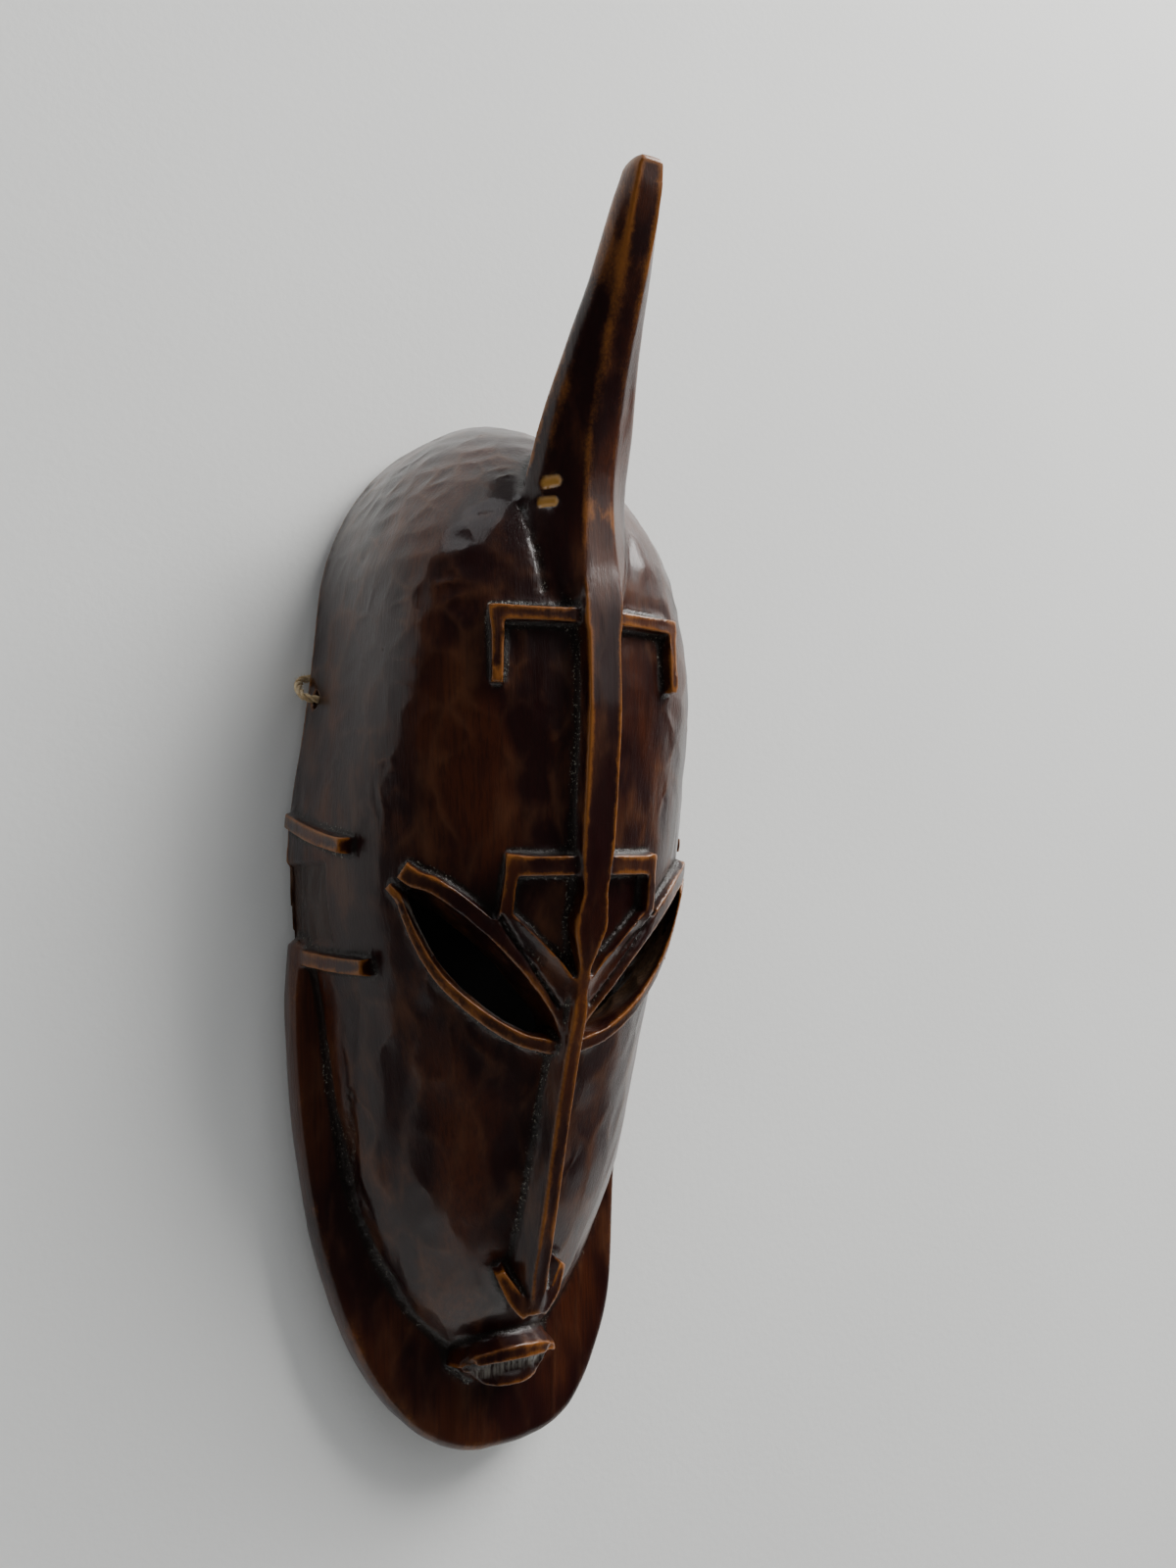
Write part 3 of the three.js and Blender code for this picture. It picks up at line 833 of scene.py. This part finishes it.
# %% [markdown]
# ## The foot of the horn, and what is inside
# On the real mask the horn grows out of the dome in a soft hollow. The even skin has a hard corner
# there, so along the horn's foot the skin is drawn towards a much calmer copy of itself. The same
# calm copy shows how far a place stands proud of its surroundings. The hollow behind the face is
# found by direction: its skin looks back towards the middle of the mask.

# %% Horn foot and hollow
HORN_FOOT = [(-16.1, -60.5, 44.4), (-14.6, -65.7, 31.6), (-13.4, -67.3, 21.2)]
FOOT_HALF_WIDTH = 6.5
FOOT_SHARE = 0.8
CALM_ROUNDS = 50
MIDDLE_BACK = 20
HOLLOW_FRONT = -62

calm_points = softened(smooth_points, CALM_ROUNDS)
near_foot = cut(smooth_points / MM, HORN_FOOT, FOOT_HALF_WIDTH)[:, None]
smooth_points = smooth_points + FOOT_SHARE * near_foot * (calm_points - smooth_points)
normals = point_directions(smooth_points)
relief = ((smooth_points - calm_points) * normals).sum(1) / MM
x, y, z = (smooth_points / MM).T
outward = unit(np.stack([x, y + MIDDLE_BACK, np.zeros(len(x))], 1))
inward = step_between(-(outward * normals).sum(1), 0.15, 0.5)
inward = inward * step_between(normals[:, 1], -0.3, -0.1)
hollow = softened(inward * (y > HOLLOW_FRONT), 2)
print("share of the skin inside the hollow", round(float(hollow.mean()), 2))

# %% [markdown]
# ## Which places stick out and which lie in a groove
# The mean of a point's neighbours lies under it on an edge and over it in a groove. That distance,
# divided by the square of the spacing, is a curvature. Edges are where hands and cloth wear the
# stain away, and grooves are where wax and dust collect, so both become attributes for the finish.

# %% Curvature masks
BEND_ROUNDS = 5
EDGE_BEND = 0.16
GROOVE_BEND, GROOVE_SPAN = 0.012, 0.10
RAISED_FROM, RAISED_FULLY = 0.15, 1.1
edge_lines = smooth_points[edges[:, 0]] - smooth_points[edges[:, 1]]
spacing = float(np.linalg.norm(edge_lines, axis=1).mean())


def bending(points, rounds):
    calm = softened(points, rounds)
    lean = ((neighbour_mean(calm) - calm) * point_directions(calm)).sum(1)
    return softened(lean / spacing**2 * MM, 2)


bend = bending(smooth_points, BEND_ROUNDS)
edge_wear = np.clip(-bend / EDGE_BEND, 0, 1)
groove = np.clip((bend - GROOVE_BEND) / GROOVE_SPAN, 0, 1)
raised = softened(step_between(relief, RAISED_FROM, RAISED_FULLY), 1) * (1 - hollow)
print("mean spacing in mm", round(spacing / MM, 2))
print("worn share", round(float((edge_wear > 0.5).mean()), 3))
print("groove share", round(float((groove > 0.5).mean()), 3))

# %% [markdown]
# ## Scoops of the adze
# The adze leaves round scoops on the dome and long shallow ones down the sides. Each scoop has a
# middle on the surface, and every point belongs to the nearest middle. Where the nearest and the
# second nearest are equally far, two scoops meet in a faint ridge. Coordinates squeezed along the
# height before the search make the scoops long. A slow wander of the places before the search keeps
# the ridges from running straight.

# %% Scoops of the adze
ROUND_SCOOP, LONG_SCOOP = 11 * MM, 9.5 * MM
LONG_SQUEEZE = (1, 1, 0.30)
WANDER_SIZE, WANDER = 9 * MM, 5


def scoop_middles(places, size, seed):
    """One point of the skin, drawn with a fixed seed, for every cube of the given size."""
    order = np.random.default_rng(seed).permutation(len(places))
    cells = np.floor(places[order] / size).astype(np.int64)
    _, chosen = np.unique(cells, axis=0, return_index=True)
    return places[order[chosen]]


def scoops(places, size, seed):
    """0 in the middle of a scoop and 1 on the ridge where two of them meet."""
    middles = scoop_middles(places, size, seed)
    finder = KDTree(len(middles))
    for i, middle in enumerate(middles):
        finder.insert(middle, i)
    finder.balance()
    near = np.array([[hit[2] for hit in finder.find_n(place, 2)] for place in places])
    return 2 * near[:, 0] / np.maximum(near.sum(1), 1e-9)


wander = np.stack([unevenness(smooth_points, WANDER_SIZE, s) for s in (1, 2, 3)], 1) - 0.5
bent = smooth_points + wander * WANDER * MM
round_marks = scoops(bent, ROUND_SCOOP, 5)
long_marks = scoops(bent * LONG_SQUEEZE, LONG_SCOOP, 6)
print("points on a ridge between scoops", int((round_marks > 0.97).sum()))

# %% [markdown]
# ## How deep the tools went
# Depths are in millimetres. Scoops are deepest in the hollow, where nobody looks, shallower on the
# dome and the sides, and nearly gone where a knife has finished an edge or a groove. Two noises add
# the broad and the small unevenness that every hand tool leaves.

# %% Depth of the tool marks
DOME_DEPTH, SIDE_DEPTH, HOLLOW_DEPTH = 0.29, 0.22, 0.75
BROAD_DEPTH, BROAD_SIZE = 0.5, 26 * MM
SMALL_DEPTH, SMALL_SIZE = 0.16, 4.5 * MM

on_dome = step_between(z, -46, -6) * (1 - step_between(-y, 62, 74))
marks = on_dome * round_marks + (1 - on_dome) * long_marks
meeting = step_between(marks, 0.80, 0.97)
plain = 1 - 0.8 * np.clip(softened(np.maximum(edge_wear, groove), 3) * 1.6, 0, 1)
horn = step_between(z, 24, 40) * step_between(-y, 52, 62)
depth = (DOME_DEPTH * on_dome + SIDE_DEPTH * (1 - on_dome)) * plain * (1 - 0.6 * horn)
depth = depth * (1 - hollow) + HOLLOW_DEPTH * hollow
sink = depth * (1 - marks**2)
sink += BROAD_DEPTH * unevenness(smooth_points, BROAD_SIZE, 11) * plain
sink += SMALL_DEPTH * unevenness(smooth_points * (1, 1, 0.4), SMALL_SIZE, 12)
facet_ridge = meeting * plain * (1 - horn)
print("scoops sink the surface by up to", round(float(sink.max()), 2), "mm")

# %% [markdown]
# ## Cuts made on purpose
# Some marks follow no rule: the notch where the horn leaves the dome, the line under the shield,
# the rough channel inside the collar, the lowered wall between the ear bars, two chips on the horn
# and two places rubbed bare. Pale wax is left between the lips and along the lower rim of the left
# eye. Nearly all of them follow a short line given in millimetres, and most keep to skin that faces
# the right way.

# %% Where the cuts are
SHIELD_EDGE = [(-24, -62.6), (-14.5, -74.6), (-5, -86.4)]
COLLAR_EDGE = [
    (-49, -83), (-47.5, -105), (-44.5, -132), (-35.5, -157), (-25, -174), (-14, -184), (-10, -190)
]
UPPER_CHIP = [(-12.4, -66.6, 49.0), (-10.4, -68.6, 49.4)]
LOWER_CHIP = [(-13.2, -65.2, 44.2), (-10.8, -67.8, 44.2)]
RUBBED_RIDGE = [(-1.3, -73.4, 42), (3.4, -73.4, 40)]
RUBBED_HOOK = [(-27.4, -66.8, -1.2), (-27.9, -66.6, -3.2)]
BETWEEN_LIPS = [(-9, -189.8), (1, -188.0), (11, -188.6)]
LOWER_EYE_RIM = [(-43.0, -57.6), (-36.4, -69.9), (-22.4, -85.9), (-8.5, -93.0)]

millimetres = smooth_points / MM
seen_flat = millimetres[:, (0, 2)]
front = step_between(-normals[:, 1], 0.1, 0.35) * (1 - hollow)

horn_notch = cut(millimetres, HORN_FOOT, half_width=1.5)
shield_line = cut(seen_flat, SHIELD_EDGE, half_width=0.95) * front
shield_line += cut(seen_flat, mirrored(SHIELD_EDGE), half_width=0.95) * front
crumbled = step_between(unevenness(smooth_points, 7 * MM, 23), 0.35, 0.7)
collar_cut = cut(seen_flat, COLLAR_EDGE, half_width=1.7) * front * (0.35 + 0.65 * crumbled)
collar_cut += 0.6 * cut(seen_flat, mirrored(COLLAR_EDGE), half_width=1.6) * front
between_bars = step_between(z, -70, -68) * (1 - step_between(z, -48.5, -46.5))
side_wall = step_between(-x, 47, 50) * between_bars
side_wall = side_wall * (1 - step_between(-y, 18.5, 20)) * (1 - hollow)
chips = cut(millimetres, UPPER_CHIP, half_width=1.7)
chips += cut(millimetres, LOWER_CHIP, half_width=1.5)
chips = np.clip(chips, 0, 1) * (normals[:, 0] < 0)
rubbed = cut(millimetres, RUBBED_RIDGE, half_width=2.6) * front
rubbed += 1.3 * cut(millimetres, RUBBED_HOOK, half_width=2.4) * front
pale_wax = cut(seen_flat, BETWEEN_LIPS, half_width=1.9) * front
pale_wax += 0.9 * cut(seen_flat, LOWER_EYE_RIM, half_width=0.7) * front
print("points on the chips", int((chips > 0).sum()))

# %% [markdown]
# ## Cutting
# A cut sinks the skin, each point along its own direction, by so many millimetres. Most cuts go a
# little more or less deep from place to place, because a blade chatters. They are grooves and worn
# places for the finish too, so they are added to those masks before the points move.

# %% Cut the skin
NOTCH_DEPTH, SHIELD_DEPTH, COLLAR_DEPTH = 0.35, 1.3, 0.7
WALL_DEPTH, WALL_ROUGHNESS = 0.9, 0.9
CHIP_DEPTH = 1.0
GROOVE_DEPTH = 0.35

ragged = 0.65 + 0.7 * unevenness(smooth_points, 1.6 * MM, 21)
hacked = unevenness(smooth_points * (1, 1, 0.25), 2.2 * MM, 22)
sink += (
    NOTCH_DEPTH * horn_notch * ragged
    + SHIELD_DEPTH * shield_line * ragged
    + COLLAR_DEPTH * collar_cut * ragged
)
sink += side_wall * (WALL_DEPTH + WALL_ROUGHNESS * hacked)
sink += CHIP_DEPTH * chips
groove = groove * (1 - 0.6 * near_foot[:, 0]) + 0.6 * horn_notch * ragged
groove = np.clip(groove + shield_line + 0.6 * collar_cut, 0, 1)
sink += GROOVE_DEPTH * groove * ragged * (1 - hollow)
fresh_wood = np.clip(chips * 1.6, 0, 1)
edge_wear = np.clip(edge_wear * (1 + 1.2 * horn) + 0.8 * rubbed, 0, 1) * (1 - hollow)
carved_points = smooth_points - normals * (sink * MM)[:, None]
print("cuts sink the surface by up to", round(float(sink.max()), 2), "mm")

# %% [markdown]
# ## The carved block
# The moved points go back into the mesh together with the masks, as attributes on its points. The
# skin is finer than the finish needs on its calm parts, so a Decimate modifier thins it and keeps
# the masks by blending them.

# %% Carved block
MOST_TRIANGLES = 190000
masks = {
    "edge_wear": edge_wear,
    "groove": groove,
    "raised": raised,
    "facet_ridge": facet_ridge,
    "fresh_wood": fresh_wood,
    "pale_wax": np.clip(pale_wax, 0, 1),
    "hollow": hollow,
    "lowered_wall": side_wall,
}

body_mesh.vertices.foreach_set("co", carved_points.astype(np.float32).ravel())
for mask_name, values in masks.items():
    layer = body_mesh.attributes.new(mask_name, "FLOAT", "POINT")
    layer.data.foreach_set("value", values.astype(np.float32))
body_mesh.update()
working_block = show("working_block", body_mesh)
skin_triangles = 2 * len(body_mesh.polygons)
if skin_triangles > MOST_TRIANGLES:
    thin = working_block.modifiers.new("thin", "DECIMATE")
    thin.ratio = MOST_TRIANGLES / skin_triangles
body_mesh = freeze(working_block, "carved_body")
body = show("carved_body", body_mesh)
print("masks kept", [mask_name for mask_name in masks if mask_name in body_mesh.attributes])

# %% [markdown]
# ## Patterns in the wood
# Wood has a pattern at every scale: broad patches where the stain took, smaller clouds, grain and
# pores drawn out along the height, and grit. Each is a noise on Object coordinates, with its
# stretch, scale, detail and roughness. The masks carved into the skin are read back by name.

# %% Patterns and masks
PATTERNS = {
    "patches": ((1, 1, 0.45), 34, 3, 0.5),
    "clouds": ((1, 1, 0.4), 95, 4, 0.6),
    "grain": ((1, 1, 0.045), 1150, 3, 0.6),
    "pores": ((1, 1, 0.10), 3400, 2, 0.6),
    "grit": ((1, 1, 0.8), 1500, 3, 0.7),
}


def wood_patterns(tree):
    place = tree.nodes.new("ShaderNodeTexCoord").outputs["Object"]
    return {name: speckle(tree, place, *facts) for name, facts in PATTERNS.items()}


def mask(tree, name):
    return node(tree, "ShaderNodeAttribute", attribute_name=name).outputs["Fac"]


print("wood patterns", list(PATTERNS))

# %% [markdown]
# ## Stain, wear, wax and painted shade
# The wood was stained a very dark oxblood, rubbed with wax and handled for years. The colour is
# built in layers. Most are as the maker and the years laid them: dark stain with redder patches,
# fine dark grain, orange-brown worn through on what sticks out, dark grooves with pale specks of
# wax, the fresh wood of the chips, and the bare wood inside the hollow. One is painted shade: the
# lowered wall between the ear bars is painted darker. Each layer covers a share of what is under
# it.

# %% Wood colour
WOOD_AND_SHADE_COLOURS = {
    "oxblood": (0.015, 0.0024, 0.0022, 1),
    "red patches": (0.052, 0.0115, 0.0032, 1),
    "brown clouds": (0.074, 0.0200, 0.0050, 1),
    "dark grain": (0.012, 0.0035, 0.003, 1),
    "ridges between scoops": (0.120, 0.046, 0.018, 1),
    "raised parts": (0.115, 0.036, 0.006, 1),
    "worn edges": (0.230, 0.078, 0.011, 1),
    # painted shade: the lowered wall between the ear bars is drawn darker
    "lowered wall": (0.022, 0.010, 0.006, 1),
    "grooves": (0.010, 0.006, 0.004, 1),
    "wax specks": (0.30, 0.28, 0.22, 1),
    "pale wax": (0.30, 0.28, 0.24, 1),
    "fresh wood": (0.46, 0.23, 0.045, 1),
}
BARE_WOOD, BARE_GRAIN = (0.085, 0.045, 0.022, 1), (0.038, 0.018, 0.009, 1)


def worn_through(tree, seen):
    """Wear with a patchy border, so that no edge is bare along its whole length."""
    patchy = plus(tree, times(tree, seen["clouds"], 0.7), times(tree, seen["grit"], 0.3))
    patchy = times(tree, maths(tree, "SUBTRACT", patchy, 0.5), 2.0)
    return ramp(tree, plus(tree, mask(tree, "edge_wear"), patchy), 0.30, 1.05)


def wood_colour(tree, seen):
    clouds, grain = seen["clouds"], seen["grain"]
    low = mask(tree, "groove")
    ridges = times(tree, mask(tree, "facet_ridge"), ramp(tree, clouds, 0.36, 0.62))
    fleck = plus(tree, times(tree, clouds, 0.6), times(tree, grain, 0.4))
    proud = times(tree, mask(tree, "raised"), ramp(tree, fleck, 0.38, 0.62))
    waxed = times(tree, ramp(tree, low, 0.15, 0.6), ramp(tree, clouds, 0.42, 0.62))
    specks = times(tree, ramp(tree, seen["grit"], 0.58, 0.68), waxed)
    rubbed_in = times(tree, mask(tree, "pale_wax"), ramp(tree, grain, 0.30, 0.60))
    layers = {
        "brown clouds": times(tree, ramp(tree, clouds, 0.50, 0.72), 0.6),
        "dark grain": times(tree, ramp(tree, grain, 0.42, 0.66), 0.45),
        "ridges between scoops": times(tree, ridges, 0.32),
        "raised parts": times(tree, proud, 0.7),
        "worn edges": times(tree, worn_through(tree, seen), 0.85),
        # painted shade on the lowered wall between the ear bars
        "lowered wall": times(tree, mask(tree, "lowered_wall"), 0.7),
        "grooves": times(tree, ramp(tree, low, 0.15, 0.8), 0.8),
        "wax specks": times(tree, specks, 0.75),
        "pale wax": times(tree, rubbed_in, 0.7),
        "fresh wood": mask(tree, "fresh_wood"),
    }
    patches = ramp(tree, seen["patches"], 0.46, 0.62)
    colour = blend_colour(tree, patches, WOOD_AND_SHADE_COLOURS["oxblood"], WOOD_AND_SHADE_COLOURS["red patches"])
    for name, share in layers.items():
        colour = blend_colour(tree, share, colour, WOOD_AND_SHADE_COLOURS[name])
    bare = blend_colour(tree, ramp(tree, grain, 0.35, 0.7), BARE_WOOD, BARE_GRAIN)
    return blend_colour(tree, mask(tree, "hollow"), colour, bare)


print("layers of colour", len(WOOD_AND_SHADE_COLOURS))

# %% [markdown]
# ## Sheen of the wax
# The sheen isn't painted: a thin coat over a rough base mirrors the pale wall at a low angle, as
# wax does. The base is rougher in grooves and most of all in the bare wood of the hollow, and the
# same coat lies over all of it. Grain, pores and grit give a fine bump under the wax. The wax
# follows them only a little, but more in grooves and most on the hacked wall between the ear bars,
# where it lies thin.

# %% Wood material
def wood_material():
    material, tree = blank_material("stained_wood")
    seen = wood_patterns(tree)
    low, lowered = mask(tree, "groove"), mask(tree, "lowered_wall")
    rough = plus(tree, 0.26, times(tree, seen["clouds"], 0.20))
    rough = plus(tree, rough, times(tree, mask(tree, "hollow"), 0.35))
    rough = plus(tree, rough, times(tree, low, 0.15))
    height = plus(tree, times(tree, seen["grain"], 0.5), times(tree, seen["pores"], 0.35))
    height = plus(tree, height, times(tree, times(tree, seen["grit"], low), 1.5))
    inputs = {"Height": height, "Strength": 0.6, "Distance": 0.3 * MM}
    bump = node(tree, "ShaderNodeBump", inputs)
    thin_wax = plus(tree, times(tree, lowered, 3.0), plus(tree, times(tree, low, 1.5), 0.2))
    inputs = {"Height": times(tree, height, thin_wax), "Strength": 0.5, "Distance": 0.3 * MM}
    wax_bump = node(tree, "ShaderNodeBump", inputs)
    inputs = {
        "Base Color": wood_colour(tree, seen),
        "Roughness": rough,
        "IOR": 1.47,
        "Specular IOR Level": 0.22,
        "Coat Weight": 0.5,
        "Coat Roughness": 0.14,
        "Normal": bump.outputs[0],
        "Coat Normal": wax_bump.outputs[0],
    }
    close_material(tree, node(tree, "ShaderNodeBsdfPrincipled", inputs))
    return material


stained_wood = wood_material()
finish_piece(body, "mask_body", stained_wood)
print("wood nodes", len(stained_wood.node_tree.nodes))
